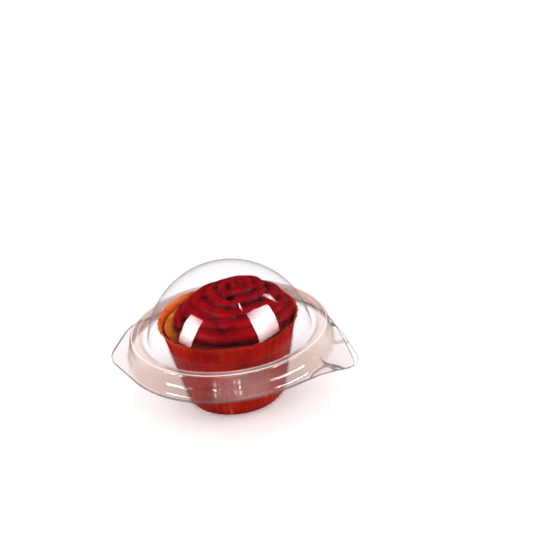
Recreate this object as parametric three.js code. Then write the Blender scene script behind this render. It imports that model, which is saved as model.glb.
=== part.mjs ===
// Hinged blister pack for one cupcake, closed, with its cupcake in the cup.
// The clear tray and the domed lid are two halves of one thermoformed film, joined by a living
// hinge. Both halves follow one closing line, so the lid nests over the tray all round.
// Millimetres, +Z up. The origin is the centre of the tray's underside, and +X points from the
// hinge to the tips of the leaf-shaped flanges, which serve as pull tabs.
import * as THREE from 'three';

// Film and clearances
const FILM = 0.4;             // wall of the clear film
const NEST_GAP = 0.3;         // air between the closed lid and the tray
const REST_GAP = 0.3;         // air between pieces that rest in one another

// Paper baking case and what it holds
const CASE_BASE_RADIUS = 25;
const CASE_HEIGHT = 44.5;
const CASE_RIM_RADIUS = 34.6;
const CASE_FLARE = 1.2;       // how far the loose rim leans out past the wall's line
const CASE_FLARE_HEIGHT = 4;
const CASE_PAPER = 0.35;
const PLEATS = 44;
const PLEAT_DEPTH = 0.8;
const RIM_RAGGED = 0.9;       // height by which the rim rises and falls from pleat to pleat
const SPONGE_SUNK = 3.35;     // depth of the sponge's edge below the case's rim
const SPONGE_CROWN = 3;       // rise of the sponge's top from its edge to its centre
const FROSTING_MARGIN = 1.85; // between the frosting's fullest radius and the case's inner folds
const FROSTING_UNDERCUT = 1.2; // how far the frosting's foot lies inside its fullest radius
const FROSTING_HEIGHT = 15;   // above the sponge's centre
const FROSTING_SKIRT = 5.5;   // height of the frosting's outer side
const PETAL_RELIEF = 1.6;
const PETAL_TURNS = 3;        // turns that the piped ribbon makes from the rim to the centre
const PETALS_PER_TURN = 5;

// Tray
const CUP_CLEARANCE = 0.45;   // between the pleats and the cup, measured along the radius

// Closing line: the middle of the air between the two halves, from the moat to the flange.
// Each width is measured outwards, and each height upwards or downwards, from the one before it.
const LEDGE_WIDTH = 9;         // from the cup's mouth to the moat
const MOAT_SUNK = 9.75;        // depth of the moat below the case's rim
const MOAT_WIDTH = 1.1;
const RIM_SLOPE_WIDTH = 2.9;   // inner slope of the rim, up from the moat
const RIM_RISE = 3.05;
const RIM_WIDTH = 4;
const RIM_CHAMFER = 0.5;
const UPPER_TIER_HEIGHT = 5.5;
const UPPER_TIER_DRAFT = 0.5;  // how far the tier's wall leans out from its top to its foot
const STEP_WIDTH = 0.8;
const STEP_DROP = 0.6;
const LOWER_TIER_HEIGHT = 3.8;
const LOWER_TIER_DRAFT = 0.8;
const SKIRT_FOOT_RISE = 0.75;  // above the flange
const SKIRT_FOOT_WIDTH = 1.4;

// Lid dome, a part of a sphere that rises from the moat
const DOME_BASE_ANGLE = 80.4;  // degrees down from the dome's top to its foot

// Side lugs, pressed into both tiers of the skirt
const LUG_ANGLE = 78;         // degrees each side of the line from the hinge to the tabs
const LUG_DEPTH = 0.9;
const LUG_RAMP = 1.2;         // width of each sloping side of a lug
const TRAY_LUG_WIDTH = 8.5;
const LID_LUG_WIDTH = 13;

// Leaf-shaped flange, with reaches measured from the round brim beside the skirt
const BRIM_WIDTH = 1.2;
const BRIM_LIP = 0.4;          // outermost strip of the flange where it is narrow
const HINGE_SETBACK = 5.85;    // from the brim to the hinge's axis
const HINGE_BEAD_RADIUS = 0.5;
const HINGE_CLEARANCE = 0.35;
const HINGE_LENGTH = 20;
const HINGE_CORNER_RADIUS = 18;
const TIP_CREASE_SETBACK = 2.4;
const TIP_SLOPE = 0.4;         // fall of the tip past its crease, per millimetre of reach
const TRAY_TIP_LENGTH = 11.9;
const TRAY_TIP_RADIUS = 11;
const TRAY_TIP_ANGLE = -8;     // degrees from +X, so that the two tips don't lie on one another
const LID_TIP_LENGTH = 10.9;
const LID_TIP_RADIUS = 8;
const LID_TIP_ANGLE = -12;

// Fineness of the facets
const ROUND_STEPS = 60;
const DOME_STEPS = 9;
const FROSTING_RINGS = 12;
const SUPPORT_STEP = 1;       // degrees between the directions that bound the flange's outline

const radians = (degrees) => (degrees * Math.PI) / 180;

// Paper case: its outer wall leans out evenly from the base to the rim
const caseFloor = FILM + REST_GAP;
const caseTop = caseFloor + CASE_HEIGHT;
const caseRadius = (z) => {
  const lean = (CASE_RIM_RADIUS - CASE_BASE_RADIUS) / CASE_HEIGHT;
  return CASE_BASE_RADIUS + lean * (z - caseFloor);
};

// Heights and radii of the closing line
const moatLevel = caseTop - MOAT_SUNK;
const rimLevel = moatLevel + RIM_RISE;
const stepLevel = rimLevel - UPPER_TIER_HEIGHT;
const skirtFootLevel = stepLevel - STEP_DROP - LOWER_TIER_HEIGHT;
const flangeLevel = skirtFootLevel - SKIRT_FOOT_RISE;
const ledgeLevel = moatLevel - NEST_GAP / 2;
const cupRadius = (z) => caseRadius(z) + CUP_CLEARANCE;
const moatInner = cupRadius(ledgeLevel) + LEDGE_WIDTH;
const moatOuter = moatInner + MOAT_WIDTH;
const rimInner = moatOuter + RIM_SLOPE_WIDTH;
const rimOuter = rimInner + RIM_WIDTH;
const stepInner = rimOuter + UPPER_TIER_DRAFT;
const stepOuter = stepInner + STEP_WIDTH;
const skirtFoot = stepOuter + LOWER_TIER_DRAFT;
const flangeRoot = skirtFoot + SKIRT_FOOT_WIDTH;
const brim = flangeRoot + BRIM_WIDTH;
const tipCrease = brim + TIP_CREASE_SETBACK;
const hingeReach = brim + HINGE_SETBACK;
const hingeEdge = hingeReach - HINGE_BEAD_RADIUS - HINGE_CLEARANCE;

// A path is a list of [radius, height] points that runs outwards. Its upper side is on its left.
function offsetPath(path, distance) {
  return path.map(([r, z], i) => {
    const before = path[Math.max(i - 1, 0)];
    const after = path[Math.min(i + 1, path.length - 1)];
    const arriving = new THREE.Vector2(r - before[0], z - before[1]).normalize();
    const leaving = new THREE.Vector2(after[0] - r, after[1] - z).normalize();
    const a = arriving.lengthSq() ? arriving : leaving;
    const b = leaving.lengthSq() ? leaving : arriving;
    const mitre = new THREE.Vector2(-a.y - b.y, a.x + b.x);
    mitre.multiplyScalar((2 * distance) / mitre.lengthSq());
    return [r === 0 ? 0 : r + mitre.x, z + mitre.y];
  });
}

// A closed skin around the Z axis. loopAt(azimuth) gives one section as [radius, height] points
// from the upper pole, out over the top, round the edge and back underneath to the lower pole.
function skinAround(azimuths, loopAt) {
  const loops = azimuths.map(loopAt);
  const last = loops[0].length - 1;
  const positions = [0, 0, loops[0][0][1], 0, 0, loops[0][last][1]];
  loops.forEach((loop, j) => {
    for (let k = 1; k < last; k += 1) {
      const [r, z] = loop[k];
      positions.push(r * Math.cos(azimuths[j]), r * Math.sin(azimuths[j]), z);
    }
  });
  const vertex = (j, k) => {
    if (k === 0) return 0;
    if (k === last) return 1;
    return 2 + (j % loops.length) * (last - 1) + (k - 1);
  };
  const triangles = [];
  for (let j = 0; j < loops.length; j += 1) {
    for (let k = 0; k < last; k += 1) {
      if (k < last - 1) triangles.push(vertex(j, k), vertex(j, k + 1), vertex(j + 1, k + 1));
      if (k > 0) triangles.push(vertex(j, k), vertex(j + 1, k + 1), vertex(j + 1, k));
    }
  }
  const geometry = new THREE.BufferGeometry();
  geometry.setAttribute('position', new THREE.Float32BufferAttribute(positions, 3));
  geometry.setIndex(triangles);
  geometry.computeVertexNormals();
  return geometry;
}

// Closing line of the two halves, with a side lug and the leaf-shaped flange
const lugRise = (azimuth, width) => {
  const across = [LUG_ANGLE, -LUG_ANGLE].map((angle) => {
    const turn = Math.atan2(Math.sin(azimuth - radians(angle)), Math.cos(azimuth - radians(angle)));
    return Math.abs(turn) * skirtFoot;
  });
  const past = Math.min(...across) - (width / 2 - LUG_RAMP);
  return LUG_DEPTH * (1 - THREE.MathUtils.clamp(past / LUG_RAMP, 0, 1));
};

// The flange's outline is the tight loop round four discs
function flangeReach(azimuth, half) {
  const corner = HINGE_LENGTH / 2;
  const tip = half.tipReach - half.tipRadius;
  const discs = [
    [0, 0, brim],
    [HINGE_CORNER_RADIUS - hingeEdge, corner, HINGE_CORNER_RADIUS],
    [HINGE_CORNER_RADIUS - hingeEdge, -corner, HINGE_CORNER_RADIUS],
    [tip * Math.cos(half.tipAngle), tip * Math.sin(half.tipAngle), half.tipRadius],
  ];
  const support = (angle) => Math.max(
    ...discs.map(([x, y, r]) => x * Math.cos(angle) + y * Math.sin(angle) + r),
  );
  let reach = Infinity;
  for (let lean = -75; lean <= 75; lean += SUPPORT_STEP) {
    reach = Math.min(reach, support(azimuth + radians(lean)) / Math.cos(radians(lean)));
  }
  return reach;
}

function closingLine(azimuth, half) {
  const lug = lugRise(azimuth, half.lugWidth);
  const edge = flangeReach(azimuth, half);
  const crease = Math.min(tipCrease, edge - BRIM_LIP);
  const past = Math.max(edge - tipCrease, 0);
  const fall = TIP_SLOPE * past * Math.max(Math.cos(azimuth), 0) ** 2;
  return [
    [moatInner, moatLevel],
    [moatOuter, moatLevel],
    [rimInner, rimLevel],
    [rimOuter - RIM_CHAMFER + lug, rimLevel],
    [rimOuter + lug, rimLevel - RIM_CHAMFER],
    [stepInner + lug, stepLevel],
    [stepOuter + lug, stepLevel - STEP_DROP],
    [skirtFoot + lug, skirtFootLevel],
    [flangeRoot, flangeLevel],
    [crease, flangeLevel],
    [edge, flangeLevel - fall],
  ];
}

// Azimuths: even steps, with more at the sides of the lugs and round the leaf's tip
function filmAzimuths(half) {
  const lugSides = [half.lugWidth / 2 - LUG_RAMP, half.lugWidth / 2]
    .map((across) => across / skirtFoot);
  const tipHalf = Math.asin(half.tipRadius / (half.tipReach - half.tipRadius));
  const extra = [];
  for (const side of [-1, 1]) {
    for (const across of lugSides) {
      extra.push(radians(LUG_ANGLE) + side * across, -radians(LUG_ANGLE) + side * across);
    }
    for (const share of [0.2, 0.6, 1]) {
      extra.push(half.tipAngle + side * tipHalf * share);
    }
  }
  const turn = 2 * Math.PI;
  const wrapped = extra.map((angle) => (angle + turn) % turn);
  const step = turn / ROUND_STEPS;
  const even = Array.from({ length: ROUND_STEPS }, (_, i) => i * step);
  const apart = (a, b) => Math.abs(Math.atan2(Math.sin(a - b), Math.cos(a - b)));
  const kept = even.filter((angle) => wrapped.every((other) => apart(angle, other) > step / 3));
  return [...kept, ...wrapped].sort((a, b) => a - b);
}

const filmLoop = (upper) => [...upper, ...offsetPath(upper, -FILM).reverse()];

const trayHalf = {
  lugWidth: TRAY_LUG_WIDTH,
  tipReach: brim + TRAY_TIP_LENGTH,
  tipRadius: TRAY_TIP_RADIUS,
  tipAngle: radians(TRAY_TIP_ANGLE),
};

const lidHalf = {
  lugWidth: LID_LUG_WIDTH,
  tipReach: brim + LID_TIP_LENGTH,
  tipRadius: LID_TIP_RADIUS,
  tipAngle: radians(LID_TIP_ANGLE),
};

// Tray: cup, ledge, ring and flange in one film
function trayGeometry() {
  const cup = [[0, FILM], [cupRadius(FILM), FILM], [cupRadius(ledgeLevel), ledgeLevel]];
  return skinAround(filmAzimuths(trayHalf), (azimuth) => {
    const ring = offsetPath(closingLine(azimuth, trayHalf), -NEST_GAP / 2);
    return filmLoop([...cup, ...ring]);
  });
}

// Lid: dome, moat, ring and flange in one film
function lidGeometry() {
  const moatTop = moatLevel + NEST_GAP / 2 + FILM;
  const foot = radians(DOME_BASE_ANGLE);
  const radius = moatInner / Math.sin(foot);
  const centre = moatTop - radius * Math.cos(foot);
  const dome = Array.from({ length: DOME_STEPS }, (_, i) => {
    const angle = (foot * i) / DOME_STEPS;
    return [radius * Math.sin(angle), centre + radius * Math.cos(angle)];
  });
  return skinAround(filmAzimuths(lidHalf), (azimuth) => {
    const ring = offsetPath(closingLine(azimuth, lidHalf), NEST_GAP / 2 + FILM);
    return filmLoop([...dome, ...ring]);
  });
}

// Living hinge: the crease of the film as a bead on the hinge's axis
function hingeGeometry() {
  return new THREE.CylinderGeometry(HINGE_BEAD_RADIUS, HINGE_BEAD_RADIUS, HINGE_LENGTH, 12);
}

// Paper case: folded in and out once for each pleat, open at the top with a ragged rim
function caseGeometry() {
  const azimuths = Array.from({ length: 2 * PLEATS }, (_, i) => (i * Math.PI) / PLEATS);
  const flareFrom = caseTop - CASE_FLARE_HEIGHT;
  return skinAround(azimuths, (azimuth) => {
    const fold = Math.round(azimuth / (Math.PI / PLEATS)) % 2;
    const depth = fold * PLEAT_DEPTH;
    const rim = caseTop - RIM_RAGGED * fold;
    const flared = caseRadius(caseTop) + CASE_FLARE - depth;
    return [
      [0, caseFloor + CASE_PAPER],
      [caseRadius(caseFloor) - CASE_PAPER - depth, caseFloor + CASE_PAPER],
      [caseRadius(flareFrom) - CASE_PAPER - depth, flareFrom],
      [flared - CASE_PAPER, rim],
      [flared, rim],
      [caseRadius(flareFrom) - depth, flareFrom],
      [caseRadius(caseFloor) - depth, caseFloor],
      [0, caseFloor],
    ];
  });
}

// Sponge: fills the case up to a low crown
const spongeFloor = caseFloor + CASE_PAPER + REST_GAP;
const spongeEdge = caseTop - SPONGE_SUNK;
const spongeRadius = (z) => caseRadius(z) - PLEAT_DEPTH - CASE_PAPER - REST_GAP;
// The crown's section from its edge to its centre, as [radius, height] points
const crown = [1, 0.8, 0.55, 0.28, 0].map((share) => [
  share * spongeRadius(spongeEdge),
  spongeEdge + SPONGE_CROWN * (1 - share ** 2),
]);
const crownPeak = crown[crown.length - 1][1];

function crownHeight(radius) {
  const i = Math.max(crown.findIndex(([r]) => r <= radius), 1);
  const [[outerR, outerZ], [innerR, innerZ]] = [crown[i - 1], crown[i]];
  return THREE.MathUtils.mapLinear(radius, innerR, outerR, innerZ, outerZ);
}

function spongeGeometry() {
  return new THREE.LatheGeometry([
    new THREE.Vector2(0, spongeFloor),
    new THREE.Vector2(spongeRadius(spongeFloor), spongeFloor),
    ...crown.map(([r, z]) => new THREE.Vector2(r, z)),
  ], ROUND_STEPS / 2);
}

// Frosting: a low dome whose top carries the spiral of petals piped as a rose
function frostingGeometry() {
  const azimuths = Array.from(
    { length: ROUND_STEPS },
    (_, i) => (i * 2 * Math.PI) / ROUND_STEPS,
  );
  const fullest = CASE_RIM_RADIUS - PLEAT_DEPTH - CASE_PAPER - FROSTING_MARGIN;
  const foot = fullest - FROSTING_UNDERCUT;
  const footLevel = crownHeight(foot) + REST_GAP;
  const skirt = footLevel + FROSTING_SKIRT;
  const peak = crownPeak + FROSTING_HEIGHT;
  const seat = crown.filter(([r]) => r < foot).map(([r, z]) => [r, z + REST_GAP]);
  return skinAround(azimuths, (azimuth) => {
    const top = Array.from({ length: FROSTING_RINGS + 1 }, (_, i) => {
      const share = i / FROSTING_RINGS;
      const turns = PETAL_TURNS * (1 - share) + azimuth / (2 * Math.PI);
      const ribbon = Math.cos(2 * Math.PI * turns);
      const lobe = Math.cos(PETALS_PER_TURN * azimuth + 2 * Math.PI * turns);
      const relief = PETAL_RELIEF * (0.7 * ribbon + 0.3 * lobe) * Math.min(3 * share, 1);
      const bulge = skirt + (peak - skirt) * Math.cos((share * Math.PI) / 2) ** 0.8;
      return [share * foot, bulge + relief * (1 - share ** 4)];
    });
    return [...top, [fullest, footLevel + FROSTING_SKIRT / 2], [foot, footLevel], ...seat];
  });
}

const clearFilm = (name) => new THREE.MeshStandardMaterial({
  name,
  color: 0xf4f6f8,
  roughness: 0.06,
  metalness: 0,
  transparent: true,
  opacity: 0.35,
});
const casePaper = new THREE.MeshStandardMaterial({
  name: 'red_case_paper',
  color: 0xb3260c,
  roughness: 0.75,
  metalness: 0,
});
const sponge = new THREE.MeshStandardMaterial({
  name: 'sponge_crumb',
  color: 0xc9731c,
  roughness: 0.9,
  metalness: 0,
});
const frosting = new THREE.MeshStandardMaterial({
  name: 'red_frosting',
  color: 0x7d0711,
  roughness: 0.45,
  metalness: 0,
});

function piece(name, geometry, material) {
  const mesh = new THREE.Mesh(geometry, material);
  mesh.name = name;
  return mesh;
}

const tray = piece('tray', trayGeometry(), clearFilm('tray_film'));

const hinge = piece('living_hinge', hingeGeometry(), clearFilm('hinge_film'));
hinge.position.set(-hingeReach, 0, flangeLevel);

const lid = piece('lid', lidGeometry(), clearFilm('lid_film'));

const cake = piece('sponge', spongeGeometry(), sponge);
cake.rotation.x = Math.PI / 2;

const cupcake = new THREE.Group();
cupcake.add(piece('paper_case', caseGeometry(), casePaper));
cupcake.add(cake);
cupcake.add(piece('frosting', frostingGeometry(), frosting));

const pack = new THREE.Group();
pack.add(tray, hinge, lid, cupcake);

export default pack;
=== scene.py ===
import math

import bmesh
import bpy
import numpy as np
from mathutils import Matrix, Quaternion, Vector


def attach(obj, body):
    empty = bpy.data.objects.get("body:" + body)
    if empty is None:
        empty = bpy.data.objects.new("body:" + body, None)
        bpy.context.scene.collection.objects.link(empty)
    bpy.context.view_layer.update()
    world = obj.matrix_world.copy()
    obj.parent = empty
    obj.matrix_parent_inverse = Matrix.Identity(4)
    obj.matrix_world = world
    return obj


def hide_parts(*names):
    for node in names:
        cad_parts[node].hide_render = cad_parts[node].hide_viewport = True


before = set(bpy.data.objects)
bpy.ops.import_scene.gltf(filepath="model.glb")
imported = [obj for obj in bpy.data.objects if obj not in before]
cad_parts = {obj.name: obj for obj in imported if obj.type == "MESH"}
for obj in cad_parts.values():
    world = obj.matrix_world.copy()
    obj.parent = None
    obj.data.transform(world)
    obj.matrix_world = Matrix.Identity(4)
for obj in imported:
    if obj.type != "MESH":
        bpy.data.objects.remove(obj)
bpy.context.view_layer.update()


# Sponge: the baked cake in the case. It is a crumbly cone with a low crown, and only its browned
# edge shows between the case and the frosting.
MM = 0.001


class Wire:
    """One socket of a material, so that shader maths reads as plain expressions."""

    def __init__(self, tree, socket=None):
        self.tree = tree
        self.socket = socket

    def node(self, kind, settings=None, sockets=None, out=0):
        made = self.tree.nodes.new(kind)
        for key, value in (settings or {}).items():
            if key == "stops":
                stops = made.color_ramp.elements
                while len(stops) < len(value):
                    stops.new(1.0)
                for stop, (place, colour) in zip(stops, value):
                    stop.position = place
                    stop.color = (*colour, 1.0)
            else:
                setattr(made, key, value)
        for key, value in (sockets or {}).items():
            if isinstance(value, Wire):
                self.tree.links.new(value.socket, made.inputs[key])
            elif isinstance(value, tuple) and len(value) == 3 and made.inputs[key].type == "RGBA":
                made.inputs[key].default_value = (*value, 1.0)
            else:
                made.inputs[key].default_value = value
        return Wire(self.tree, made.outputs[out])

    def maths(self, operation, first, second=0.0):
        return self.node("ShaderNodeMath", {"operation": operation}, {0: first, 1: second})

    def __add__(self, other):
        return self.maths("ADD", self, other)

    __radd__ = __add__

    def __sub__(self, other):
        return self.maths("SUBTRACT", self, other)

    def __rsub__(self, other):
        return self.maths("SUBTRACT", other, self)

    def __mul__(self, other):
        return self.maths("MULTIPLY", self, other)

    __rmul__ = __mul__

    def __pow__(self, power):
        return self.maths("POWER", self, power)

    def clamped(self):
        return self.node("ShaderNodeClamp", {}, {"Value": self})

    def blend(self, colour, share):
        """This colour with another laid over it by share."""
        return self.node(
            "ShaderNodeMix", {"data_type": "RGBA"}, {0: share, 6: self, 7: colour}, 2
        )

    def axis(self, number):
        """One coordinate of a place, 0 to 2 for X to Z."""
        return self.node("ShaderNodeSeparateXYZ", {}, {"Vector": self}, number)

    def past(self, start, width):
        """0 up to a start and 1 from a width farther on, both in mm."""
        return ((self - start * MM) * (1 / (width * MM))).clamped()

    def near(self, middle, reach):
        """1 at a middle, falling to 0 a reach to either side of it, both in mm."""
        off = self.maths("ABSOLUTE", self - middle * MM)
        return (1.0 - off * (1 / (reach * MM))).clamped()


def new_material(name):
    material = bpy.data.materials.new(name)
    material.use_nodes = True
    material.node_tree.nodes.clear()
    return material, Wire(material.node_tree)


def surface(wire, shader):
    output = wire.tree.nodes.new("ShaderNodeOutputMaterial")
    wire.tree.links.new(shader.socket, output.inputs["Surface"])


def principled(wire, sockets):
    return wire.node("ShaderNodeBsdfPrincipled", {}, sockets)


def mixed(share, first, second):
    return share.node("ShaderNodeMixShader", {}, {0: share, 1: first, 2: second})


def colour_ramp(factor, stops):
    return factor.node("ShaderNodeValToRGB", {"stops": stops}, {"Fac": factor})


def object_place(wire):
    return wire.node("ShaderNodeTexCoord", out=3)


def noise(wire, place, scale, detail=3.0, roughness=0.5, stretch=(1, 1, 1)):
    mapped = wire.node("ShaderNodeMapping", {}, {"Vector": place, "Scale": stretch})
    return wire.node(
        "ShaderNodeTexNoise",
        {},
        {"Vector": mapped, "Scale": scale, "Detail": detail, "Roughness": roughness},
    )


def bump(wire, height, distance, strength=1.0):
    return wire.node(
        "ShaderNodeBump", {}, {"Height": height, "Distance": distance, "Strength": strength}
    )


def openness(wire, reach, own=False):
    """1 where a surface lies open and less in folds narrower than reach, in metres. With own set,
    only the piece itself closes it in."""
    return wire.node(
        "ShaderNodeAmbientOcclusion", {"only_local": own, "samples": 8}, {"Distance": reach}, 1
    )


SIDE_GAIN = 1400.0
SIDE_START = 0.45


def at_the_sides(place):
    """1 towards the hinge and the tip, where light gets in beside the frosting, else 0."""
    across = place.axis(0)
    return (across * across * SIDE_GAIN - SIDE_START).clamped()


SPONGE_CRUMB = (0.72, 0.22, 0.015)
SPONGE_BROWN = (0.35, 0.06, 0.006)
# Colour of the painted shade on the crumb:
SPONGE_PAINTED_SHADE = (0.09, 0.004, 0.002)
SPONGE_PORES = 900.0
SPONGE_PORE_DEPTH = 0.0006
SPONGE_PATCHES = 160.0
SPONGE_FOLD = 0.004
crumb, wire = new_material("baked_crumb")
place = object_place(wire)
pores = noise(wire, place, SPONGE_PORES, 4.0)
patches = noise(wire, place, SPONGE_PATCHES)
baked = colour_ramp(patches * 0.6 + pores * 0.4, [(0.35, SPONGE_BROWN), (0.62, SPONGE_CRUMB)])
# Painted shade: the crumb is darkened in narrow folds and everywhere except towards the hinge and
# the tip, where light gets in beside the frosting.
painted_fold_shade = (1.1 - (openness(wire, SPONGE_FOLD) ** 2.0) * 1.3).clamped()
painted_crumb_shade = (1.0 - at_the_sides(place) + painted_fold_shade).clamped()
surface(wire, principled(wire, {
    "Base Color": baked.blend(SPONGE_PAINTED_SHADE, painted_crumb_shade),
    "Roughness": 0.9,
    "Specular IOR Level": 0.05,
    "Normal": bump(wire, pores, SPONGE_PORE_DEPTH),
}))
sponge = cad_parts["sponge"]
sponge.data.materials.clear()
sponge.data.materials.append(crumb)


# Paper case: thin red baking paper, pressed into pleats that open out to a loose, ragged rim.
# Light comes through the paper at the rim and inside, where it looks orange.
CASE_FLOOR = 0.7
CASE_HEIGHT = 44.5
CASE_BASE_RADIUS = 25.0
CASE_RIM_RADIUS = 34.6
CASE_FLARE = 1.2
CASE_FLARE_HEIGHT = 5.0
CASE_PAPER = 0.3
CASE_HEEL = 0.9
PLEATS = 44
PLEAT_DEPTH = 0.8
PLEAT_POINTS = 8
PLEAT_SEAM = 0.00002
RIM_RAGGED = 3.6
RIM_RAGGED_HEIGHT = 6.0
RIM_WAVES = 110.0
RIM_WAVE_TOP = 0.72


def case_radius(z):
    return CASE_BASE_RADIUS + (CASE_RIM_RADIUS - CASE_BASE_RADIUS) * (z - CASE_FLOOR) / CASE_HEIGHT


def pleat_section():
    """The crest line of a pleat from the floor's middle, as (radius, height, depth)."""
    heel = [
        (
            case_radius(CASE_FLOOR) - CASE_HEEL * (1 - math.sin(a)) * 0.9,
            CASE_FLOOR + CASE_HEEL * (1 - math.cos(a)),
            PLEAT_DEPTH * a / (math.pi / 2),
        )
        for a in np.linspace(0.15, math.pi / 2, 5)
    ]
    wall = [
        (case_radius(z), z, PLEAT_DEPTH)
        for z in np.linspace(CASE_FLOOR + CASE_HEEL + 2, CASE_FLOOR + CASE_HEIGHT, 22)
    ]
    floor = [(0.0, CASE_FLOOR, 0.0), (CASE_BASE_RADIUS * 0.6, CASE_FLOOR, 0.0)]
    flared = []
    for r, z, depth in floor + heel + wall:
        rise = max(0.0, (z - (CASE_FLOOR + CASE_HEIGHT - CASE_FLARE_HEIGHT)) / CASE_FLARE_HEIGHT)
        flared.append((r + CASE_FLARE * rise ** 2, z, depth * (1 - 0.3 * rise)))
    return flared


def one_pleat():
    """One fold of the case, from trough to trough, with its slice of the floor."""
    section = pleat_section()
    vertices, faces, folds = [], [], []
    for r, z, depth in section:
        for i in range(PLEAT_POINTS + 1):
            turn = (i / PLEAT_POINTS - 0.5) * 2 * math.pi / PLEATS
            fold = 0.5 + 0.5 * math.cos((i / PLEAT_POINTS - 0.5) * 2 * math.pi)
            reach = max(r - depth * (1 - fold), 0.0)
            vertices.append((
                reach * math.cos(turn) * MM,
                reach * math.sin(turn) * MM,
                z * MM,
            ))
            folds.append(fold)
    row = PLEAT_POINTS + 1
    for j in range(len(section) - 1):
        for i in range(PLEAT_POINTS):
            a = j * row + i
            if j == 0:
                faces.append((a, a + row + 1, a + row))
            else:
                faces.append((a, a + 1, a + row + 1, a + row))
    mesh = bpy.data.meshes.new("one_pleat")
    mesh.from_pydata(vertices, [], faces)
    mesh.attributes.new("fold", "FLOAT", "POINT").data.foreach_set("value", folds)
    return mesh


PAPER_LIT = [(0.3, (0.55, 0.05, 0.006)), (0.7, (0.85, 0.20, 0.02))]
PAPER_SHADED = (0.22, 0.004, 0.002)
PAPER_RED = [(0.3, (0.26, 0.002, 0.001)), (0.7, (0.52, 0.010, 0.002))]
# Colour of the painted highlight on the pleat crests:
PAPER_CREST_HIGHLIGHT = (0.80, 0.13, 0.01)
# Colour of the painted light at the rim:
PAPER_RIM_LIGHT = (0.85, 0.16, 0.012)
PAPER_FOLD = 0.0025
CREST_HIGHLIGHTS_END = 31.25
RIM_FROM = 40.0
RIM_BLEND = 4.5
RIM_SIDE_FROM = 8.3
RIM_SIDE_BLEND = 33.3

inside_paper, wire = new_material("case_paper_inside")
place = object_place(wire)
lit = colour_ramp(noise(wire, place, 120.0), PAPER_LIT)
# Painted shade: the inside of the case is darkened in narrow folds and everywhere except towards
# the hinge and the tip. Its orange is painted light coming through the paper.
painted_fold_shade = (1.0 - (openness(wire, PAPER_FOLD) ** 2.0) * 1.2).clamped()
shaded = (1.0 - at_the_sides(place) + painted_fold_shade).clamped()
surface(wire, principled(wire, {
    "Base Color": lit.blend(PAPER_SHADED, shaded),
    "Roughness": 0.7,
    "Specular IOR Level": 0.05,
    "Normal": bump(wire, noise(wire, place, 700.0, 3.0), 0.00008),
}))

outside_paper, wire = new_material("case_paper_outside")
place = object_place(wire)
height = place.axis(2)
fold = wire.node("ShaderNodeAttribute", {"attribute_name": "fold"}, out=2)
red = colour_ramp(noise(wire, place, 60.0, 3.0), PAPER_RED)
# Painted highlight: lighter orange marks along the pleat crests, fading higher up the case.
crest_highlight_noise = noise(wire, place, 160.0, 2.0, 0.5, (1, 1, 0.12))
crest_highlights = ((crest_highlight_noise - 0.5) * 6.0).clamped() * fold * 0.85
lit = red.blend(PAPER_CREST_HIGHLIGHT, crest_highlights * (1.0 - height.past(0.0, CREST_HIGHLIGHTS_END) * 0.85))
# Painted light: the rim turns lighter orange towards the hinge side, where light comes through the
# paper.
hinge_side = (place.axis(0) * -1.0).past(RIM_SIDE_FROM, RIM_SIDE_BLEND)
rim = height.past(RIM_FROM, RIM_BLEND) * (hinge_side * 0.8 + 0.04)
surface(wire, principled(wire, {
    "Base Color": lit.blend(PAPER_RIM_LIGHT, rim),
    "Roughness": 0.55,
    "Specular IOR Level": 0.02,
    "Normal": bump(wire, noise(wire, place, 900.0, 2.0), 0.0001),
}))


def show(name, data):
    """Puts a mesh, lamp or camera into the scene."""
    made = bpy.data.objects.new(name, data)
    bpy.context.scene.collection.objects.link(made)
    return made


def node_tree(name, inputs):
    """A geometry tree with a geometry input and output and the named inputs for its sizes."""
    tree = bpy.data.node_groups.new(name, "GeometryNodeTree")
    tree.interface.new_socket("Geometry", in_out="INPUT", socket_type="NodeSocketGeometry")
    for label, kind in inputs:
        tree.interface.new_socket(label, in_out="INPUT", socket_type=kind)
    tree.interface.new_socket("Geometry", in_out="OUTPUT", socket_type="NodeSocketGeometry")
    return tree, tree.nodes.new("NodeGroupInput"), tree.nodes.new("NodeGroupOutput")


def run_tree(source, tree, values, name):
    """Runs a geometry tree on an object and returns the result as a plain mesh object."""
    modifier = source.modifiers.new(tree.name, "NODES")
    modifier.node_group = tree
    sockets = {s.name: s.identifier for s in tree.interface.items_tree if s.in_out == "INPUT"}
    for label, value in values.items():
        modifier[sockets[label]] = value
    evaluated = source.evaluated_get(bpy.context.evaluated_depsgraph_get())
    mesh = bpy.data.meshes.new_from_object(evaluated)
    mesh.name = name
    bpy.data.objects.remove(source)
    return show(name, mesh)


def smooth(piece):
    piece.data.polygons.foreach_set("use_smooth", [True] * len(piece.data.polygons))


tree, given, result = node_tree("pleats_round_the_case", [
    ("Pleats", "NodeSocketInt"),
    ("Turn", "NodeSocketFloat"),
    ("Ragged", "NodeSocketFloat"),
    ("Rim from", "NodeSocketFloat"),
    ("Paper", "NodeSocketMaterial"),
])


def add(kind, settings=None, links=None):
    """A node of the tree with its settings and what each of its inputs gets."""
    made = tree.nodes.new(kind)
    for key, value in (settings or {}).items():
        setattr(made, key, value)
    for key, value in (links or {}).items():
        if isinstance(value, bpy.types.NodeSocket):
            tree.links.new(value, made.inputs[key])
        else:
            made.inputs[key].default_value = value
    return made


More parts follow.
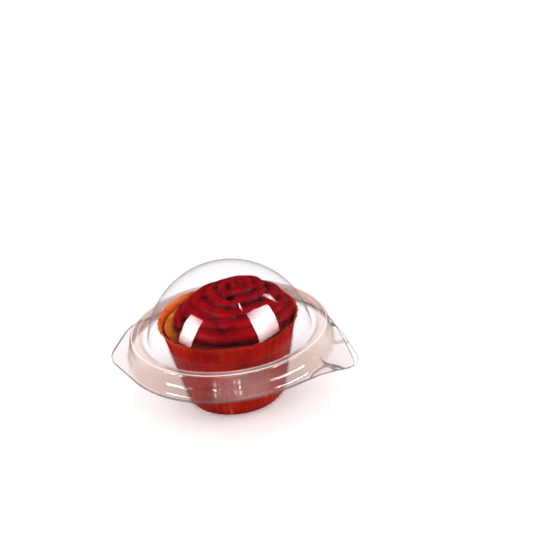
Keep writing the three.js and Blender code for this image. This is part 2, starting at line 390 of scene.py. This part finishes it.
points = add("GeometryNodePoints", {}, {"Count": given.outputs["Pleats"]})
count = add("GeometryNodeInputIndex")
angle = add("ShaderNodeMath", {"operation": "MULTIPLY"}, {
    0: count.outputs[0],
    1: given.outputs["Turn"],
})
spin = add("ShaderNodeCombineXYZ", {}, {"Z": angle.outputs[0]})
copies = add("GeometryNodeInstanceOnPoints", {}, {
    "Points": points.outputs[0],
    "Instance": given.outputs["Geometry"],
    "Rotation": spin.outputs[0],
})
real = add("GeometryNodeRealizeInstances", {}, {0: copies.outputs[0]})
merged = add("GeometryNodeMergeByDistance", {}, {
    "Geometry": real.outputs[0],
    "Distance": PLEAT_SEAM,
})
where = add("GeometryNodeInputPosition")
apart = add("ShaderNodeSeparateXYZ", {}, {0: where.outputs[0]})
above = add("ShaderNodeMapRange", {}, {
    "Value": apart.outputs[2],
    "From Min": given.outputs["Rim from"],
    "From Max": (CASE_FLOOR + CASE_HEIGHT) * MM,
})
waves = add("ShaderNodeTexNoise", {}, {
    "Vector": where.outputs[0],
    "Scale": RIM_WAVES,
    "Detail": 2.0,
})
centred = add("ShaderNodeMath", {"operation": "SUBTRACT"}, {0: waves.outputs[0], 1: RIM_WAVE_TOP})
share = add("ShaderNodeMath", {"operation": "MULTIPLY"}, {
    0: centred.outputs[0],
    1: above.outputs[0],
})
drop = add("ShaderNodeMath", {"operation": "MULTIPLY"}, {
    0: share.outputs[0],
    1: given.outputs["Ragged"],
})
shift = add("ShaderNodeCombineXYZ", {}, {"Z": drop.outputs[0]})
torn = add("GeometryNodeSetPosition", {}, {
    "Geometry": merged.outputs[0],
    "Offset": shift.outputs[0],
})
painted = add("GeometryNodeSetMaterial", {}, {
    "Geometry": torn.outputs[0],
    "Material": given.outputs["Paper"],
})
tree.links.new(painted.outputs[0], result.inputs[0])

case = run_tree(show("one_pleat", one_pleat()), tree, {
    "Pleats": PLEATS,
    "Turn": 2 * math.pi / PLEATS,
    "Ragged": RIM_RAGGED * MM,
    "Rim from": (CASE_FLOOR + CASE_HEIGHT - RIM_RAGGED_HEIGHT) * MM,
    "Paper": outside_paper,
}, "pleated_paper_case")
case.data.materials.clear()
case.data.materials.append(outside_paper)
case.data.materials.append(inside_paper)
smooth(case)
paper = case.modifiers.new("paper", "SOLIDIFY")
paper.thickness = CASE_PAPER * MM
paper.offset = -1
paper.material_offset = 1
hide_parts("paper_case")
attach(case, "tray_body")


# Frosting: crimson buttercream, piped as a rose. Soft petals lie in rings over a low mound, each
# ring higher and tighter than the one outside it, and the rose leans a little to one side.
FROSTING_FOOT = 43.6
PETAL_RINGS = [
    # petals, radius, height, half width, half height
    (6, 26.1, 45.8, 4.0, 3.5),
    (6, 22.3, 49.9, 3.8, 3.5),
    (5, 17.8, 53.5, 3.7, 3.4),
    (4, 12.0, 56.6, 3.5, 3.3),
    (3, 6.6, 58.6, 3.0, 3.0),
    (2, 2.2, 59.4, 2.2, 2.6),
]
PETAL_SPAN = 1.35
PETAL_SPIRAL = 1.5
PETAL_ALONG = 25
PETAL_ROUND = 14
PETAL_END = 0.98
PETAL_TAPER = 0.3
PETAL_DROOP = 0.9
PETAL_STRAY = 0.1
PETAL_UNEVEN = 0.5
PETAL_SEED = 7
RING_TURN = 0.8
ROSE_LEAN = (3.2, 1.0)
ROSE_TOP = 62.0
ROSE_SHIFT = (3.0, 0.3)
MOUND = [
    # radius, height
    (0.0, 56.0),
    (9.0, 54.5),
    (15.0, 51.0),
    (20.5, 47.5),
    (25.0, 44.5),
    (29.4, FROSTING_FOOT),
]
MOUND_STEPS = 64
FROSTING_VOXEL = 0.42
FROSTING_PALE = (0.31, 0.0004, 0.004)
FROSTING_DEEP = (0.13, 0.0001, 0.001)
# Colour of the painted shade between the petals:
FROSTING_VALLEY_SHADE = (0.018, 0.0001, 0.0006)
FROSTING_FOLD = 0.009
FROSTING_SWIRL_DEPTH = 0.0012

rose = bmesh.new()
chance = np.random.default_rng(PETAL_SEED)


def leaning(x, y, z):
    """A point of the rose in metres, moved sideways the more the higher it lies."""
    share = max(z - FROSTING_FOOT, 0.0) / (ROSE_TOP - FROSTING_FOOT)
    return Vector((
        x + ROSE_SHIFT[0] + ROSE_LEAN[0] * share,
        y + ROSE_SHIFT[1] + ROSE_LEAN[1] * share,
        z,
    )) * MM


def add_petal(mesh, middle, half_turn, radius, height, width, tall):
    """One petal: a bent, tapering roll of frosting that overlaps its neighbours."""
    loops = []
    for along in np.linspace(-PETAL_END, PETAL_END, PETAL_ALONG):
        taper = (1 - along ** 2) ** PETAL_TAPER
        turn = middle + half_turn * along
        reach = radius + PETAL_SPIRAL * along
        lift = height - PETAL_DROOP * along ** 2
        loop = []
        for around in np.linspace(0, 2 * math.pi, PETAL_ROUND, endpoint=False):
            out = reach + width * taper * math.cos(around)
            up = lift + tall * taper * math.sin(around)
            loop.append(mesh.verts.new(leaning(out * math.cos(turn), out * math.sin(turn), up)))
        loops.append(loop)
    for first, second in zip(loops, loops[1:]):
        for i in range(PETAL_ROUND):
            j = (i + 1) % PETAL_ROUND
            mesh.faces.new((first[i], first[j], second[j], second[i]))
    mesh.faces.new(loops[0][::-1])
    mesh.faces.new(loops[-1])


for ring, (petals, radius, height, width, tall) in enumerate(PETAL_RINGS):
    for k in range(petals):
        stray = chance.uniform(-PETAL_STRAY, PETAL_STRAY)
        middle = ring * RING_TURN + (k + stray) * 2 * math.pi / petals
        add_petal(
            rose,
            middle,
            math.pi / petals * PETAL_SPAN,
            radius,
            height + chance.uniform(-PETAL_UNEVEN, PETAL_UNEVEN),
            width,
            tall,
        )

mound_loops = [
    [
        rose.verts.new(leaning(r * math.cos(a), r * math.sin(a), z))
        for a in np.linspace(0, 2 * math.pi, MOUND_STEPS, endpoint=False)
    ]
    for r, z in MOUND[1:]
]
peak = rose.verts.new(leaning(0, 0, MOUND[0][1]))
for i in range(MOUND_STEPS):
    j = (i + 1) % MOUND_STEPS
    rose.faces.new((peak, mound_loops[0][i], mound_loops[0][j]))
    for inner, outer in zip(mound_loops, mound_loops[1:]):
        rose.faces.new((inner[i], outer[i], outer[j], inner[j]))
rose.faces.new(mound_loops[-1])
bmesh.ops.recalc_face_normals(rose, faces=rose.faces)
rose_mesh = bpy.data.meshes.new("frosting_rose")
rose.to_mesh(rose_mesh)
rose.free()
frosting = show("frosting_rose", rose_mesh)
fuse = frosting.modifiers.new("fuse", "REMESH")
fuse.mode = "VOXEL"
fuse.voxel_size = FROSTING_VOXEL * MM
soften = frosting.modifiers.new("soften", "SMOOTH")
soften.factor = 0.5
soften.iterations = 3
fused = bpy.data.meshes.new_from_object(
    frosting.evaluated_get(bpy.context.evaluated_depsgraph_get())
)
frosting.modifiers.clear()
frosting.data = fused
smooth(frosting)

buttercream, wire = new_material("crimson_buttercream")
place = object_place(wire)
grain = noise(wire, place, 1500.0, 2.0)
swirl = noise(wire, place, 130.0, 3.0)
# Painted shade: the buttercream is darkened in the narrow folds between petals.
valley_shade = (1.15 - (openness(wire, FROSTING_FOLD, own=True) ** 3.0) * 1.15).clamped()
crimson = colour_ramp(swirl, [(0.3, FROSTING_DEEP), (0.7, FROSTING_PALE)])
surface(wire, principled(wire, {
    "Base Color": crimson.blend(FROSTING_VALLEY_SHADE, valley_shade),
    "Roughness": 0.42,
    "Specular IOR Level": 0.02,
    "Normal": bump(wire, grain * 0.15 + swirl * 0.85, FROSTING_SWIRL_DEPTH),
}))
frosting.data.materials.clear()
frosting.data.materials.append(buttercream)
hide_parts("frosting")
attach(frosting, "tray_body")


# Tray: one half of the clear thermoformed film. It has the cup, a ledge, the raised ring with
# its two-step skirt and side lugs, and the leaf-shaped flange.
FILM = 0.4
NEST_GAP = 0.3
CUP_CLEARANCE = 0.45
CUP_HEEL = 0.9
LEDGE_LIP = 1.0
CLOSING_LINE = [
    # radius, height, share of the lug, rounding
    (41.9, 35.45, 0, 0.3),
    (43.0, 35.45, 0, 0.4),
    (45.9, 38.5, 0, 0.7),
    (49.9, 38.5, 1, 0.9),
    (50.4, 33.0, 1, 0.35),
    (51.2, 32.4, 1, 0.4),
    (52.0, 28.6, 1, 0.6),
    (53.4, 27.85, 0, 0.5),
]
FLANGE_LEVEL = CLOSING_LINE[-1][1]
SKIRT_FOOT_RADIUS = CLOSING_LINE[6][0]
FILLET_STEPS = 4
LUG_ANGLE = 78.0
LUG_DEPTH = 0.9
LUG_RAMP = 1.2
LUG_FROM = 49.0
LUG_FOOT = 28.4
BRIM_RADIUS = 54.6
BRIM_LIP = 0.4
CUT_LINE = 0.25
HINGE_REACH = 60.464
HINGE_SETBACK = 0.4
HINGE_EDGE = HINGE_REACH - HINGE_SETBACK
HINGE_LENGTH = 20.0
HINGE_CORNER_RADIUS = 18.0
TIP_CREASE_RADIUS = 57.0
TIP_CREASE_ROUNDING = 0.8
TIP_SLOPE = 0.4
OUTLINE_SWEEP = 75.0
OUTLINE_STEP = 0.5
AROUND = 300
AROUND_TIP = 60
TIP_SPAN = 40.0
TRAY_HALF = {"lug": 8.5, "tip": 66.4, "tip_radius": 11.0, "tip_angle": math.radians(-8)}


def turned(angle):
    """An angle brought to the half turn on either side of zero."""
    return math.atan2(math.sin(angle), math.cos(angle))


def lug_rise(angle, width):
    across = min(
        abs(turned(angle - math.radians(at))) for at in (LUG_ANGLE, -LUG_ANGLE)
    ) * SKIRT_FOOT_RADIUS
    past = (across - (width / 2 - LUG_RAMP)) / LUG_RAMP
    share = min(max(past, 0.0), 1.0)
    return LUG_DEPTH * (1 - share * share * (3 - 2 * share))


def flange_reach(angle, half):
    """How far the flange goes out: the tight loop round four discs."""
    tip = half["tip"] - half["tip_radius"]
    discs = [
        (0.0, 0.0, BRIM_RADIUS),
        (HINGE_CORNER_RADIUS - HINGE_EDGE, HINGE_LENGTH / 2, HINGE_CORNER_RADIUS),
        (HINGE_CORNER_RADIUS - HINGE_EDGE, -HINGE_LENGTH / 2, HINGE_CORNER_RADIUS),
        (tip * math.cos(half["tip_angle"]), tip * math.sin(half["tip_angle"]), half["tip_radius"]),
    ]
    lean = np.radians(np.arange(-OUTLINE_SWEEP, OUTLINE_SWEEP + OUTLINE_STEP, OUTLINE_STEP))
    normal = angle + lean
    support = np.max([x * np.cos(normal) + y * np.sin(normal) + r for x, y, r in discs], axis=0)
    return float(np.min(support / np.cos(lean)))


def filleted(path):
    """Rounds the corners of a path of (radius, height, rounding). A rounding of 0 keeps the
    corner as one point."""
    points = [path[0][:2]]
    for before, (r, z, rounding), after in zip(path, path[1:], path[2:]):
        corner = Vector((r, z))
        if rounding == 0:
            points.append((r, z))
            continue
        back = Vector(before[:2]) - corner
        on = Vector(after[:2]) - corner
        cut_back = min(rounding, back.length * 0.45)
        cut_on = min(rounding, on.length * 0.45)
        start = corner + back.normalized() * cut_back
        end = corner + on.normalized() * cut_on
        for i in range(FILLET_STEPS + 1):
            t = i / FILLET_STEPS
            points.append(tuple(start * (1 - t) ** 2 + corner * 2 * t * (1 - t) + end * t * t))
    points.append(path[-1][:2])
    return points


def offset_path(path, distance):
    """The path moved to its upper side by distance, with mitred corners."""
    line = np.array(path)
    steps = np.diff(line, axis=0)
    steps /= np.linalg.norm(steps, axis=1)[:, None]
    arriving = np.vstack([steps[:1], steps])
    leaving = np.vstack([steps, steps[-1:]])
    mitre = np.column_stack([
        -arriving[:, 1] - leaving[:, 1],
        arriving[:, 0] + leaving[:, 0],
    ])
    mitre *= 2 * distance / np.sum(mitre ** 2, axis=1)[:, None]
    mitre[line[:, 0] == 0, 0] = 0
    return line + mitre


def ring_line(angle, half, offset):
    """The ring and flange of one half at an azimuth, as (radius, height, rounding)."""
    lug = lug_rise(angle, half["lug"])
    edge = flange_reach(angle, half)
    crease = min(TIP_CREASE_RADIUS, edge - BRIM_LIP)
    past = max(edge - TIP_CREASE_RADIUS, 0.0)
    fall = TIP_SLOPE * past * max(math.cos(angle), 0.0) ** 2
    line = [(r + share * lug, z, rounding) for r, z, share, rounding in CLOSING_LINE]
    lip = 1 - CUT_LINE / (edge - crease)
    line += [
        (crease, FLANGE_LEVEL, TIP_CREASE_ROUNDING),
        (crease + (edge - crease) * lip, FLANGE_LEVEL - fall * lip, 0.01),
        (edge, FLANGE_LEVEL - fall, 0.0),
    ]
    moved = offset_path([p[:2] for p in line], offset)
    return [(r, z, p[2]) for (r, z), p in zip(moved, line)]


def film_azimuths(half):
    """Even steps round the pack, with finer ones across the leaf's tip."""
    middle, span = half["tip_angle"], math.radians(TIP_SPAN) / 2
    fine = np.linspace(middle - span, middle + span, AROUND_TIP, endpoint=False)
    rest = np.linspace(middle + span, middle - span + 2 * math.pi, AROUND, endpoint=False)
    return np.concatenate([fine, rest])


def film_mesh(name, azimuths, upper_at, lug_width):
    """A closed shell of film round the Z axis. upper_at(azimuth) gives its upper side. The first
    material is for its faces and the second for its cut edge."""
    loops = []
    for angle in azimuths:
        upper = np.array(filleted(upper_at(angle)))
        lower = offset_path(upper, -FILM)[::-1]
        loops.append(np.vstack([upper, lower]))
    loops = np.array(loops)
    turns, last = len(loops), loops.shape[1] - 1
    inner = loops[:, 1:last]
    x = inner[:, :, 0] * np.cos(azimuths)[:, None]
    y = inner[:, :, 0] * np.sin(azimuths)[:, None]
    around = np.stack([x, y, inner[:, :, 1]], axis=-1).reshape(-1, 3)
    poles = np.array([[0, 0, loops[0, 0, 1]], [0, 0, loops[0, last, 1]]])
    vertices = np.vstack([poles, around]) * MM
    index = np.arange(turns * (last - 1)).reshape(turns, last - 1) + 2
    after = np.roll(index, -1, axis=0)
    quads = np.stack([index[:, :-1], index[:, 1:], after[:, 1:], after[:, :-1]], axis=-1)
    faces = quads.reshape(-1, 4).tolist()
    faces += [(0, a, b) for a, b in zip(index[:, 0].tolist(), after[:, 0].tolist())]
    faces += [(1, b, a) for a, b in zip(index[:, -1].tolist(), after[:, -1].tolist())]
    mesh = bpy.data.meshes.new(name)
    mesh.from_pydata(vertices.tolist(), [], faces)
    across = np.arange(len(faces)) % (last - 2)
    cut = (abs(across - last // 2 + 1) <= 1) & (np.arange(len(faces)) < turns * (last - 2))
    mesh.polygons.foreach_set("material_index", cut.astype(np.int32))
    mesh.polygons.foreach_set("use_smooth", ~cut)
    # The lug_ramp attribute marks the lugs' sloped sides, where the film material paints
    # highlights.
    share = np.array([lug_rise(a, lug_width) for a in azimuths])[:, None] / LUG_DEPTH
    on_skirt = (inner[:, :, 0] > LUG_FROM) & (inner[:, :, 1] > LUG_FOOT)
    ramp = np.concatenate([[0, 0], (4 * share * (1 - share) * on_skirt).ravel()])
    mesh.attributes.new("lug_ramp", "FLOAT", "POINT").data.foreach_set("value", ramp)
    mesh.update()
    return show(name, mesh)


# Where the film changes, as a start or middle and a width, in mm.
STRETCHED = (43.5, 1.25)
# The next five mark where the painted highlights lie: on the rim top, along its two edges, and on
# the lugs' two tiers.
RIM_TOP = (38.6, 0.333)
RIM_INNER_HIGHLIGHT = (46.4, 0.4545)
RIM_OUTER_HIGHLIGHT = (49.3, 0.588)
UPPER_TIER = (35.6, 2.083)
LOWER_TIER = (30.7, 1.667)
SKIRT_END = (52.5, 1.43)
DOME_FOOT = (34.5, 1.25)
TIP_SIDE = (43.0, 4.0)
FLANGE_START = (51.5, 1.11)
FILM_RIPPLE = 28.0
FILM_RIPPLE_DEPTH = 0.0008
FILM_FOLDS = 42.0
FILM_EDGE = (0.10, 0.08, 0.085)
FILM_STRETCHED = (0.90, 0.83, 0.80)
# Milky colour for the film's haze and for its painted highlights:
FILM_HAZE_AND_HIGHLIGHT = (0.86, 0.74, 0.72)
FILM_MIRROR = (0.95, 0.95, 0.95)
CUT_CLEAR = (0.9, 0.88, 0.88)


def clear_film(name, tint, veil, haze):
    """Clear film: it lets light straight through, mirrors like plastic and has a painted dark
    outline where it turns edge-on.
    Outside the cup and dome, where it was stretched over the mould, it is warmer and a little
    hazy. Painted highlights run as bright lines along the ring's rim and lugs, and thin dark
    creases are drawn by the tip."""
    material, wire = new_material(name)
    place = object_place(wire)
    ripple = noise(wire, place, FILM_RIPPLE, 2.0)
    facing = wire.node("ShaderNodeLayerWeight", {}, {"Blend": 0.5}, 1)
    height = place.axis(2)
    flat = wire.node("ShaderNodeVectorMath", {"operation": "MULTIPLY"}, {0: place, 1: (1, 1, 0)})
    radius = wire.node("ShaderNodeVectorMath", {"operation": "LENGTH"}, {0: flat}, 1)
    stretched = radius.past(*STRETCHED)
    skirt = stretched * (1.0 - radius.past(*SKIRT_END))

    thin = wire.node("ShaderNodeBsdfTransparent", {}, {"Color": tint})
    deep = wire.node("ShaderNodeBsdfTransparent", {}, {"Color": FILM_STRETCHED})
    through = mixed((stretched * 0.12 + skirt * 0.5) * (ripple + 0.5), thin, deep)
    mirror = principled(wire, {
        "Base Color": FILM_MIRROR,
        "Metallic": 1.0,
        "Roughness": 0.04,
        "Normal": bump(wire, ripple, FILM_RIPPLE_DEPTH, 0.3),
    })
    film = mixed(((facing ** 4.0) * 0.2 + veil).clamped(), through, mirror)

    # Painted highlights: a faint milky band on the rim top, bright milky lines along its two
    # edges, and lines on the lugs' sloped sides at both tiers of the skirt.
    rim_top = height.past(*RIM_TOP) * stretched
    lines = radius.near(*RIM_INNER_HIGHLIGHT) * 0.3 + radius.near(*RIM_OUTER_HIGHLIGHT) * 0.6
    lug = wire.node("ShaderNodeAttribute", {"attribute_name": "lug_ramp"}, out=2)
    lug_highlights = lug * (height.near(*UPPER_TIER) + height.near(*LOWER_TIER)) * 0.5
    cloud = ((ripple - 0.5) * 4.0).clamped() * 0.08
    bright = rim_top * 0.06 + rim_top * lines * (ripple * 1.4 + 0.3) + lug_highlights
    haze_and_highlight = principled(wire, {
        "Base Color": FILM_HAZE_AND_HIGHLIGHT,
        "Roughness": 0.4,
        "Specular IOR Level": 0.1,
    })
    hazed_and_highlighted = mixed((stretched * (cloud + haze) + bright).clamped(), film, haze_and_highlight)

    # Painted shade: a dark outline where the film turns edge-on. Thin dark crease lines are drawn
    # by the tip with the same dark shader.
    outline = (height.past(*DOME_FOOT) + stretched * 0.6).clamped()
    folds = wire.maths("ABSOLUTE", noise(wire, place, FILM_FOLDS, 1.0, 0.4) - 0.5)
    near_tip = place.axis(0).past(*TIP_SIDE) * radius.past(*FLANGE_START)
    creases = (1.0 - folds * 75.0).clamped() * near_tip * 0.55
    edge = principled(wire, {"Base Color": FILM_EDGE, "Roughness": 0.25})
    surface(wire, mixed(((facing ** 12.0) * 0.85 * outline + creases).clamped(), hazed_and_highlighted, edge))
    return material


def cut_edge(name):
    """The trimmed edge of the film, which looks darker than its face."""
    material, wire = new_material(name)
    through = wire.node("ShaderNodeBsdfTransparent", {}, {"Color": CUT_CLEAR})
    edge = principled(wire, {"Base Color": FILM_EDGE, "Roughness": 0.3})
    share = noise(wire, object_place(wire), 60.0, 2.0) * 0.6 + 0.35
    surface(wire, mixed(share.clamped(), through, edge))
    return material


def tray_upper(angle):
    ledge = CLOSING_LINE[0][1] - NEST_GAP / 2
    start = [
        (0.0, FILM, 0.0),
        (case_radius(FILM) + CUP_CLEARANCE, FILM, CUP_HEEL),
        (case_radius(ledge) + CUP_CLEARANCE, ledge, LEDGE_LIP),
    ]
    return start + ring_line(angle, TRAY_HALF, -NEST_GAP / 2)


tray = film_mesh("clear_tray", film_azimuths(TRAY_HALF), tray_upper, TRAY_HALF["lug"])
tray_film = clear_film("tray_clear_film", tint=(0.965, 0.955, 0.957), veil=0.006, haze=0.012)
tray.data.materials.append(tray_film)
tray.data.materials.append(cut_edge("tray_cut_edge"))
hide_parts("tray")
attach(tray, "tray_body")


# Lid: the other half of the film. Its dome rises from a shallow moat, and its ring closes over
# the tray's ring, with a wider lug and a flange that stops a little short of the tray's.
LID_HALF = {"lug": 13.0, "tip": 65.5, "tip_radius": 8.0, "tip_angle": math.radians(-12)}
DOME_RADIUS = 42.5
DOME_STEPS = 48


def lid_upper(angle):
    lift = NEST_GAP / 2 + FILM
    foot_radius, moat = CLOSING_LINE[0][0], CLOSING_LINE[0][1] + lift
    centre = moat - math.sqrt(DOME_RADIUS ** 2 - foot_radius ** 2)
    foot = math.asin(foot_radius / DOME_RADIUS)
    dome = [
        (DOME_RADIUS * math.sin(a), centre + DOME_RADIUS * math.cos(a), 0.0)
        for a in np.linspace(0, foot, DOME_STEPS, endpoint=False)
    ]
    dome[0] = (0.0, centre + DOME_RADIUS, 0.0)
    return dome + ring_line(angle, LID_HALF, lift)


lid = film_mesh("clear_lid", film_azimuths(LID_HALF), lid_upper, LID_HALF["lug"])
lid_film = clear_film("lid_clear_film", tint=(0.955, 0.943, 0.952), veil=0.013, haze=0.012)
lid.data.materials.append(lid_film)
lid.data.materials.append(cut_edge("lid_cut_edge"))
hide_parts("lid")
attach(lid, "lid_body")


# Living hinge: the narrow bead of the same film that joins the two flanges. It lies round the
# hinge's axis, so both flanges stay on it at every angle of the lid.
HINGE_BEAD_RADIUS = 0.5
HINGE_SIDES = 24
HINGE_GATHERS = 26
HINGE_GATHER_DEPTH = 0.04
bead = bmesh.new()
rings = []
for step in range(2 * HINGE_GATHERS + 1):
    y = (step / (2 * HINGE_GATHERS) - 0.5) * HINGE_LENGTH
    wall = HINGE_BEAD_RADIUS - HINGE_GATHER_DEPTH * (step % 2)
    rings.append([
        bead.verts.new(Vector((
            wall * math.cos(turn) - HINGE_REACH,
            y,
            wall * math.sin(turn) + FLANGE_LEVEL,
        )) * MM)
        for turn in np.linspace(0, 2 * math.pi, HINGE_SIDES, endpoint=False)
    ])
for first, second in zip(rings, rings[1:]):
    for i in range(HINGE_SIDES):
        j = (i + 1) % HINGE_SIDES
        bead.faces.new((first[i], second[i], second[j], first[j]))
bead.faces.new(rings[0])
bead.faces.new(rings[-1][::-1])
bmesh.ops.recalc_face_normals(bead, faces=bead.faces)
bead_mesh = bpy.data.meshes.new("hinge_bead")
bead.to_mesh(bead_mesh)
bead.free()
hinge = show("hinge_bead", bead_mesh)
smooth(hinge)
hinge_film = clear_film("hinge_clear_film", tint=(0.93, 0.92, 0.925), veil=0.03, haze=0.2)
hinge.data.materials.append(hinge_film)
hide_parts("living_hinge")
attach(hinge, "tray_body")


# Studio: a wide white floor, soft lamps, a wide light from above, bright panels that only the
# film mirrors, and the camera where the photograph's was.
FLOOR_HALF = 6.0
FLOOR_WHITE = (0.9, 0.9, 0.9)
FLOOR_SHEEN = 0.8
FLOOR_GLOW = 0.25
FLOOR_MIRRORED = 0.22
PANEL_DISTANCE = 0.55
PANELS = [
    # spot on the dome in mm, azimuths and elevations of the corners seen from it, brightness
    ((-9, -32, 52), ((-163, 46), (-129, 53), (-132, 14), (-152, 13)), 66.0),
    ((24, -23, 53), ((-27, 58), (22, 40), (2, 13), (-33, 16)), 56.0),
    ((20, -20, 57), ((36, 47), (39, 46), (36, 28), (34, 28)), 60.0),
    ((20, -20, 57), ((41, 45), (43, 44), (40, 30), (38, 30)), 30.0),
    ((12, -22, 58), ((-8, 74), (-13, 75), (-31, 65), (-27, 63)), 40.0),
]
PANEL_FULL = (1.0, 1.0, 1.0)
PANEL_DIM = (0.12, 0.03, 0.04)
PANEL_FADE = [(0.0, PANEL_DIM), (0.45, PANEL_FULL), (0.55, PANEL_FULL), (1.0, PANEL_DIM)]
LAMPS = [
    # azimuth, elevation, width, power
    (-146.0, 45.0, 0.5, 3.0),
    (10.0, 50.0, 0.6, 3.0),
    (-73.0, 35.0, 0.8, 1.5),
]
SUN_STRENGTH = 2.5
SUN_WIDTH = math.radians(35)
LAMP_DISTANCE = 0.9
WHITE = (1.0, 1.0, 1.0)
WORLD_LIGHT = 0.35
WORLD_MIRRORED = 0.12
DOME_CENTRE = Vector((0.0, 0.0, 0.028))


def towards(azimuth, elevation):
    a, e = math.radians(azimuth), math.radians(elevation)
    return Vector((math.cos(a) * math.cos(e), math.sin(a) * math.cos(e), math.sin(e)))


floor_mesh = bpy.data.meshes.new("floor")
floor_mesh.from_pydata(
    [(x * FLOOR_HALF, y * FLOOR_HALF, 0) for x, y in ((-1, -1), (1, -1), (1, 1), (-1, 1))],
    [],
    [(0, 1, 2, 3)],
)
floor = show("floor", floor_mesh)
white_floor, wire = new_material("white_floor")
seen = wire.node("ShaderNodeLightPath", out="Is Camera Ray")
mirrored = wire.node("ShaderNodeLightPath", out="Is Glossy Ray")
refracted = wire.node("ShaderNodeLightPath", out="Is Transmission Ray")
matt = wire.node("ShaderNodeBsdfDiffuse", {}, {"Color": FLOOR_WHITE})
bright = wire.node("ShaderNodeEmission", {}, {"Color": WHITE, "Strength": 1.0})
dim = wire.node("ShaderNodeEmission", {}, {"Color": WHITE, "Strength": FLOOR_MIRRORED})
shown = mixed((seen + refracted).clamped() * FLOOR_GLOW, matt, bright)
surface(wire, mixed(mirrored * FLOOR_SHEEN, shown, dim))
floor_mesh.materials.append(white_floor)

for number, (spot, corners, brightness) in enumerate(PANELS):
    panel_mesh = bpy.data.meshes.new(f"panel_{number}")
    panel_mesh.from_pydata([
        Vector(spot) * MM + towards(azimuth, elevation) * PANEL_DISTANCE
        for azimuth, elevation in corners
    ], [], [(0, 1, 2, 3)])
    glow, wire = new_material(f"panel_glow_{number}")
    shade = colour_ramp(wire.node("ShaderNodeTexCoord", out=0).axis(2), PANEL_FADE)
    surface(wire, wire.node("ShaderNodeEmission", {}, {"Color": shade, "Strength": brightness}))
    panel_mesh.materials.append(glow)
    panel = show(f"panel_{number}", panel_mesh)
    panel.visible_camera = False
    panel.visible_diffuse = False
    panel.visible_shadow = False

for number, (azimuth, elevation, width, power) in enumerate(LAMPS):
    light = bpy.data.lights.new(f"lamp_{number}", "AREA")
    light.size = width
    light.energy = power
    lamp = show(f"lamp_{number}", light)
    direction = towards(azimuth, elevation)
    lamp.location = DOME_CENTRE + direction * LAMP_DISTANCE
    lamp.rotation_mode = "QUATERNION"
    lamp.rotation_quaternion = direction.to_track_quat("Z", "Y")
    lamp.visible_glossy = False

sun = bpy.data.lights.new("ceiling", "SUN")
sun.energy = SUN_STRENGTH
sun.angle = SUN_WIDTH
ceiling = show("ceiling", sun)
ceiling.location = (0.0, 0.0, 1.0)
ceiling.visible_glossy = False

world = bpy.data.worlds.new("studio")
bpy.context.scene.world = world
world.use_nodes = True
world.node_tree.nodes.clear()
wire = Wire(world.node_tree)
seen = wire.node("ShaderNodeLightPath", out="Is Camera Ray")
mirrored = wire.node("ShaderNodeLightPath", out="Is Glossy Ray")
strength = seen * (1.0 - WORLD_LIGHT) + mirrored * (WORLD_MIRRORED - WORLD_LIGHT) + WORLD_LIGHT
sky = wire.node("ShaderNodeBackground", {}, {"Color": WHITE, "Strength": strength})
shown = world.node_tree.nodes.new("ShaderNodeOutputWorld")
world.node_tree.links.new(sky.socket, shown.inputs["Surface"])

IMAGE_SIDE = 560.0
FOCAL_PIXELS = 1000.0
SENSOR = 36.0
CAMERA_AZIMUTH = 17.0
CAMERA_ELEVATION = 28.0
CAMERA_ROLL = 7.3
CAMERA_DISTANCE = 0.505
AIM = Vector((0.0, 0.0, 0.0408))
AIM_PIXEL = (228.5, 321.1)
camera_data = bpy.data.cameras.new("photo_camera")
camera_data.sensor_width = SENSOR
camera_data.lens = FOCAL_PIXELS / IMAGE_SIDE * SENSOR
camera_data.clip_start = 0.01
camera_data.dof.use_dof = False
camera = show("photo_camera", camera_data)
bpy.context.scene.camera = camera
back = towards(CAMERA_AZIMUTH - 90.0, CAMERA_ELEVATION)
look = (-back).to_track_quat("-Z", "Y") @ Quaternion((0, 0, 1), -math.radians(CAMERA_ROLL))
seen_at = Vector((
    (AIM_PIXEL[0] - IMAGE_SIDE / 2) / FOCAL_PIXELS,
    -(AIM_PIXEL[1] - IMAGE_SIDE / 2) / FOCAL_PIXELS,
    -1.0,
))
aside = Vector((0, 0, -1)).rotation_difference(seen_at)
camera.rotation_mode = "QUATERNION"
camera.location = AIM + back * CAMERA_DISTANCE
camera.rotation_quaternion = look @ aside.inverted()

scene = bpy.context.scene
scene.view_settings.view_transform = "Standard"
scene.cycles.transparent_max_bounces = 32
